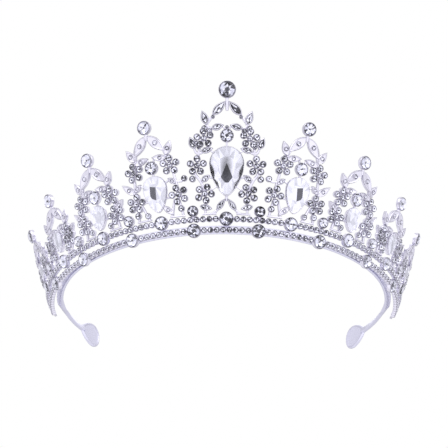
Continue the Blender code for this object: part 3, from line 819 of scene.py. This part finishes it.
def band_ring(degrees, soft=0.24):
    """The strip's section, with rounded edges."""
    high, inner = band_height(degrees) - soft, soft - band_thick(degrees)
    ring = []
    for x, y, start in ((-soft, soft, -90), (-soft, high, 0), (inner, high, 90), (inner, soft, 180)):
        for k in range(4):
            a = math.radians(start + 30 * k)
            ring.append(band_point(degrees, x + soft * math.cos(a), y + soft * math.sin(a)))
    return ring


def paddle_outline(steps=56):
    """A teardrop, pointed at 0 and round at PADDLE_LENGTH, as (along, up) points."""
    outline = []
    for i in range(steps):
        turn = 2 * math.pi * i / steps
        swell = math.sin(turn) * (0.55 + 0.45 * math.sin(turn / 2) ** 2) / PADDLE_SWELL
        outline.append((PADDLE_LENGTH * (0.5 - 0.5 * math.cos(turn)), swell * PADDLE_HEIGHT / 2))
    return outline


def add_paddle(solid, side):
    """A pad whose rounded rim stands proud of a thin web, in line with the arm's end."""

    def middle_of(degrees):
        return band_point(degrees, -band_thick(degrees) / 2, band_height(degrees) / 2)

    start = middle_of(side * ARM_END)
    ahead = middle_of(side * (ARM_END + 1)) - start
    ahead = Vector((ahead.x, ahead.y, 0)).normalized()
    up = Vector((0, 0, 1))
    outward = ahead.cross(up) * -side
    middle = PADDLE_LENGTH * 0.56
    rings = []
    for scale, depth in PADDLE_PROFILE:
        ring = []
        for along, rise in paddle_outline():
            x = middle + (along - middle) * scale - PADDLE_LAP
            ring.append(start + (ahead * x + up * (rise * scale) + outward * depth) * MM)
        rings.append(ring)
    # Painted shade on the paddle: darker on each face of the rim as it rises from the web to its crest.
    solid.loft(rings, tones=[1.0, 0.8, 0.75, 0.9, 1.0, 1.0, 1.0, 0.9, 0.75, 0.8, 1.0])


# From the web behind, over the rim, to the web in front: share of the outline, and depth.
PADDLE_PROFILE = (
    (0.74, -0.3), (0.8, -0.32), (0.85, -0.5), (0.9, -0.68), (0.97, -0.6), (1.0, -0.3),
    (1.0, 0.3), (0.97, 0.6), (0.9, 0.68), (0.85, 0.5), (0.8, 0.32), (0.74, 0.3),
)  # fmt: skip


def build_headband(steel):
    band = Solid()
    steps = 224
    band.loft([band_ring(ARM_END * (2 * i / steps - 1)) for i in range(steps + 1)])
    for side in (-1, 1):
        add_paddle(band, side)
        degrees = side * (BAND_STRIP_END - 2.0)
        face = band_point(degrees, 0, BAND_HEIGHT / 2)
        outward = (band_point(degrees, 1, BAND_HEIGHT / 2) - face).normalized()
        turned = outward.to_track_quat("Z", "Y").to_matrix().to_4x4()
        spot = Matrix.Translation(face) @ turned @ Matrix.Scale(MM, 4)
        add_bead(band, spot, 0, 0, 0, 0.45, 0.45)
    band.make("headband_strip", [steel], ["headband"], "band_steel")


# Materials.


def new_material(name):
    material = bpy.data.materials.new(name)
    material.use_nodes = True
    nodes, links = material.node_tree.nodes, material.node_tree.links
    return material, nodes, links, nodes["Principled BSDF"]


def add_noise(nodes, links, scale, detail=3.0, stretch=(1, 1, 1)):
    """Noise in the object's own space, per metre of it."""
    place, mapping, noise = (nodes.new("ShaderNode" + n) for n in ("TexCoord", "Mapping", "TexNoise"))
    mapping.inputs["Scale"].default_value = stretch
    noise.inputs["Scale"].default_value = scale
    noise.inputs["Detail"].default_value = detail
    links.new(place.outputs["Object"], mapping.inputs["Vector"])
    links.new(mapping.outputs["Vector"], noise.inputs["Vector"])
    return noise.outputs["Fac"]


def add_range(nodes, links, source, low, high):
    """The middle of a noise's reach, spread from low to high."""
    spread = nodes.new("ShaderNodeMapRange")
    spread.inputs["From Min"].default_value = 0.3
    spread.inputs["From Max"].default_value = 0.7
    spread.inputs["To Min"].default_value = low
    spread.inputs["To Max"].default_value = high
    links.new(source, spread.inputs["Value"])
    return spread.outputs["Result"]


def add_painted_light_colour(nodes, links, dark, light, patch=None):
    """Each face's tone, which paints shade and dark reflections, between two colours, mottled a little by a
    noise.
    """
    tone, mix = nodes.new("ShaderNodeAttribute"), nodes.new("ShaderNodeMix")
    tone.attribute_name = "tone"
    mix.data_type = "RGBA"
    mix.inputs["A"].default_value = (*dark, 1.0)
    mix.inputs["B"].default_value = (*light, 1.0)
    factor = tone.outputs["Fac"]
    if patch is not None:
        times = nodes.new("ShaderNodeMath")
        times.operation = "MULTIPLY"
        links.new(factor, times.inputs[0])
        links.new(patch, times.inputs[1])
        factor = times.outputs[0]
    links.new(factor, mix.inputs["Factor"])
    return mix.outputs["Result"]


def add_bump(nodes, links, shader, height, strength, distance):
    bump = nodes.new("ShaderNodeBump")
    bump.inputs["Strength"].default_value = strength
    bump.inputs["Distance"].default_value = distance
    links.new(height, bump.inputs["Height"])
    links.new(bump.outputs["Normal"], shader.inputs["Normal"])


def make_silver():
    """Rhodium plate on a casting: bright, cool, a little uneven, with painted shade down in the recesses and
    along the edges, from each face's tone.
    """
    material, nodes, links, shader = new_material("silver_plate")
    cloud = add_noise(nodes, links, 260.0, 4.0)
    patch = add_range(nodes, links, cloud, 0.9, 1.0)
    colour = add_painted_light_colour(nodes, links, (0.14, 0.13, 0.17), (0.83, 0.82, 0.9), patch)
    links.new(colour, shader.inputs["Base Color"])
    shader.inputs["Metallic"].default_value = 1.0
    links.new(add_range(nodes, links, cloud, 0.16, 0.3), shader.inputs["Roughness"])
    grain = add_noise(nodes, links, 2600.0, 2.0)
    add_bump(nodes, links, shader, grain, 0.25, 0.00006)
    return material


def make_steel():
    """The band's rolled strip: fine lengthwise brushing under a soft plate."""
    material, nodes, links, shader = new_material("band_steel")
    brush = add_noise(nodes, links, 420.0, 4.0, (1, 1, 14))
    patch = add_range(nodes, links, brush, 0.88, 1.0)
    # The dark colour shows where a face's tone paints shade, on the paddle's rim.
    colour = add_painted_light_colour(nodes, links, (0.34, 0.33, 0.4), (0.8, 0.8, 0.92), patch)
    links.new(colour, shader.inputs["Base Color"])
    shader.inputs["Metallic"].default_value = 1.0
    links.new(add_range(nodes, links, brush, 0.24, 0.42), shader.inputs["Roughness"])
    add_bump(nodes, links, shader, brush, 0.15, 0.000004)
    return material


GLASS_IOR, LOOSE_IOR = 1.54, 1.02


def make_glass(name, bends_inside=True):
    """Clear crystal with a trace of polish haze. Without bends_inside, light leaves it nearly straight."""
    material, nodes, links, shader = new_material(name)
    haze = add_noise(nodes, links, 900.0, 3.0)
    shader.inputs["Base Color"].default_value = (0.97, 0.975, 1.0, 1.0)
    shader.inputs["Transmission Weight"].default_value = 1.0
    shader.inputs["IOR"].default_value = GLASS_IOR
    if not bends_inside:
        side, index = nodes.new("ShaderNodeNewGeometry"), nodes.new("ShaderNodeMath")
        index.operation = "MULTIPLY_ADD"
        links.new(side.outputs["Backfacing"], index.inputs[0])
        index.inputs[1].default_value = LOOSE_IOR - GLASS_IOR
        index.inputs[2].default_value = GLASS_IOR
        links.new(index.outputs[0], shader.inputs["IOR"])
    links.new(add_range(nodes, links, haze, 0.0, 0.03), shader.inputs["Roughness"])
    return material


def make_foil():
    """The mirror behind a stone, with a painted reflection on each facet: its tone sets how dark the silver
    is.
    """
    material, nodes, links, shader = new_material("crystal_foil")
    cloud = add_noise(nodes, links, 700.0, 3.0)
    patch = add_range(nodes, links, cloud, 0.88, 1.0)
    colour = add_painted_light_colour(nodes, links, (0.015, 0.015, 0.025), (0.93, 0.935, 1.0), patch)
    links.new(colour, shader.inputs["Base Color"])
    shader.inputs["Metallic"].default_value = 1.0
    links.new(add_range(nodes, links, cloud, 0.06, 0.14), shader.inputs["Roughness"])
    return material


# Stage.

CAMERA_DISTANCE = 900.0
CAMERA_ELEVATION = math.radians(-25.02)
CAMERA_YAW = math.radians(-0.71)
CAMERA_ROLL = math.radians(0.12)
CAMERA_AIM_UP = math.radians(2.04)
CAMERA_LENS, CAMERA_SENSOR = 169.6, 36.0


def make_camera():
    """It looks up at the crown from the front, at the height that shows the ornament square on."""
    origin = Vector((0, RING_Y, RAIL_Z)) * MM
    sight = Vector((
        -math.sin(CAMERA_YAW) * math.cos(CAMERA_ELEVATION),
        math.cos(CAMERA_YAW) * math.cos(CAMERA_ELEVATION),
        -math.sin(CAMERA_ELEVATION),
    ))  # fmt: skip
    data = bpy.data.cameras.new("camera")
    data.sensor_width, data.lens = CAMERA_SENSOR, CAMERA_LENS
    data.clip_start, data.clip_end = 0.01, 20.0
    camera = bpy.data.objects.new("camera", data)
    turn = sight.to_track_quat("-Z", "Y").to_matrix().to_4x4()
    tilt = Matrix.Rotation(CAMERA_AIM_UP, 4, "X") @ Matrix.Rotation(CAMERA_ROLL, 4, "Z")
    camera.matrix_world = Matrix.Translation(origin - sight * CAMERA_DISTANCE * MM) @ turn @ tilt
    bpy.context.scene.collection.objects.link(camera)
    bpy.context.scene.camera = camera


LIGHT_SIZE, LIGHT_TARGET = 0.8, Vector((0, 0, 0.02))
LIGHTS = (
    ("key", (-0.5, -0.9, 0.9), 4.0),
    ("fill", (0.7, -0.6, 0.5), 2.0),
    ("back", (0.1, 0.9, 0.8), 1.4),
)


def add_light(name, place, power):
    data = bpy.data.lights.new(name, "AREA")
    data.size, data.energy = LIGHT_SIZE, power
    light = bpy.data.objects.new(name, data)
    light.location = place
    light.rotation_mode = "QUATERNION"
    light.rotation_quaternion = (LIGHT_TARGET - Vector(place)).to_track_quat("-Z", "Y")
    bpy.context.scene.collection.objects.link(light)


# The studio that the metal and stones reflect: greys from opposite the flag, a dark patch below the front.
WORLD_STRENGTH = 1.2
FLAG = Vector((0.0, -math.cos(math.radians(25)), -math.sin(math.radians(25))))
FLAG_STOPS = (
    (0.0, 0.5), (0.22, 0.72), (0.38, 0.95), (0.5, 0.62), (0.6, 0.85),
    (0.7, 1.0), (0.98, 1.0), (0.992, 0.6), (1.0, 0.3),
)  # fmt: skip


def make_world():
    """White to the eye. To the metal and the stones, a pale studio with dark patches to reflect."""
    world = bpy.data.worlds.new("studio")
    world.use_nodes = True
    bpy.context.scene.world = world
    nodes, links = world.node_tree.nodes, world.node_tree.links
    nodes.clear()
    out, seen, felt = (nodes.new("ShaderNode" + n) for n in ("OutputWorld", "Background", "Background"))
    mix, path = nodes.new("ShaderNodeMixShader"), nodes.new("ShaderNodeLightPath")
    seen.inputs["Color"].default_value = (1, 1, 1, 1)
    felt.inputs["Strength"].default_value = WORLD_STRENGTH
    kinds = ("TexCoord", "VectorMath", "Math", "ValToRGB")
    place, dot, half, ramp = (nodes.new("ShaderNode" + n) for n in kinds)
    dot.operation, half.operation = "DOT_PRODUCT", "MULTIPLY_ADD"
    dot.inputs[1].default_value = FLAG
    half.inputs[1].default_value = half.inputs[2].default_value = 0.5
    links.new(place.outputs["Generated"], dot.inputs[0])
    links.new(dot.outputs["Value"], half.inputs[0])
    links.new(half.outputs["Value"], ramp.inputs["Fac"])
    stops = ramp.color_ramp.elements
    stops.remove(stops[0])
    for position, grey in FLAG_STOPS:
        stop = stops[0] if position == 0.0 else stops.new(position)
        stop.position, stop.color = position, (grey, grey * 0.99, grey * 1.05, 1)
    links.new(ramp.outputs["Color"], felt.inputs["Color"])
    links.new(path.outputs["Is Camera Ray"], mix.inputs["Fac"])
    links.new(felt.outputs["Background"], mix.inputs[1])
    links.new(seen.outputs["Background"], mix.inputs[2])
    links.new(mix.outputs["Shader"], out.inputs["Surface"])


def make_floor():
    """A pale table, clear from beneath so that the low camera sees past it."""
    mesh = bpy.data.meshes.new("floor")
    reach, drop = 1.5, -0.0004
    corners = [(x * reach, y * reach, drop) for x, y in ((-1, -1), (1, -1), (1, 1), (-1, 1))]
    mesh.from_pydata(corners, [], [[0, 1, 2, 3]])
    floor = bpy.data.objects.new("floor", mesh)
    material, nodes, links, shader = new_material("floor")
    shade = add_range(nodes, links, add_noise(nodes, links, 30.0), 0.58, 0.62)
    links.new(shade, shader.inputs["Base Color"])
    shader.inputs["Roughness"].default_value = 0.8
    clear, mix, face = (nodes.new("ShaderNode" + n) for n in ("BsdfTransparent", "MixShader", "NewGeometry"))
    links.new(face.outputs["Backfacing"], mix.inputs["Fac"])
    links.new(shader.outputs["BSDF"], mix.inputs[1])
    links.new(clear.outputs["BSDF"], mix.inputs[2])
    links.new(mix.outputs["Shader"], nodes["Material Output"].inputs["Surface"])
    mesh.materials.append(material)
    bpy.context.scene.collection.objects.link(floor)
    floor.visible_diffuse = floor.visible_glossy = floor.visible_transmission = False


def build_crown():
    silver, steel = make_silver(), make_steel()
    foil = make_foil()
    stone_look = [make_glass("crystal"), foil]
    pear_look = [make_glass("pear_crystal", bends_inside=False), foil]
    for step in range(len(SPIRES)):
        for side, where in side_names(step):
            build_spire(step, side, where, silver, stone_look)
    build_large_stones(stone_look, pear_look)
    whole = [row["angle"] * side for step, row in enumerate(SPIRES) for side, _ in side_names(step)]
    between = [angle * side for angle in half_angles() for side in (-1, 1)]
    build_rail("upper_rail", 0.0, whole, between, silver, stone_look, 11)
    build_rail("lower_rail", -LOWER_RAIL_DROP, between, [], silver, stone_look, 12)
    build_headband(steel)


build_crown()
make_camera()
make_world()
make_floor()
for light in LIGHTS:
    add_light(*light)
bpy.context.scene.view_settings.view_transform = "Standard"
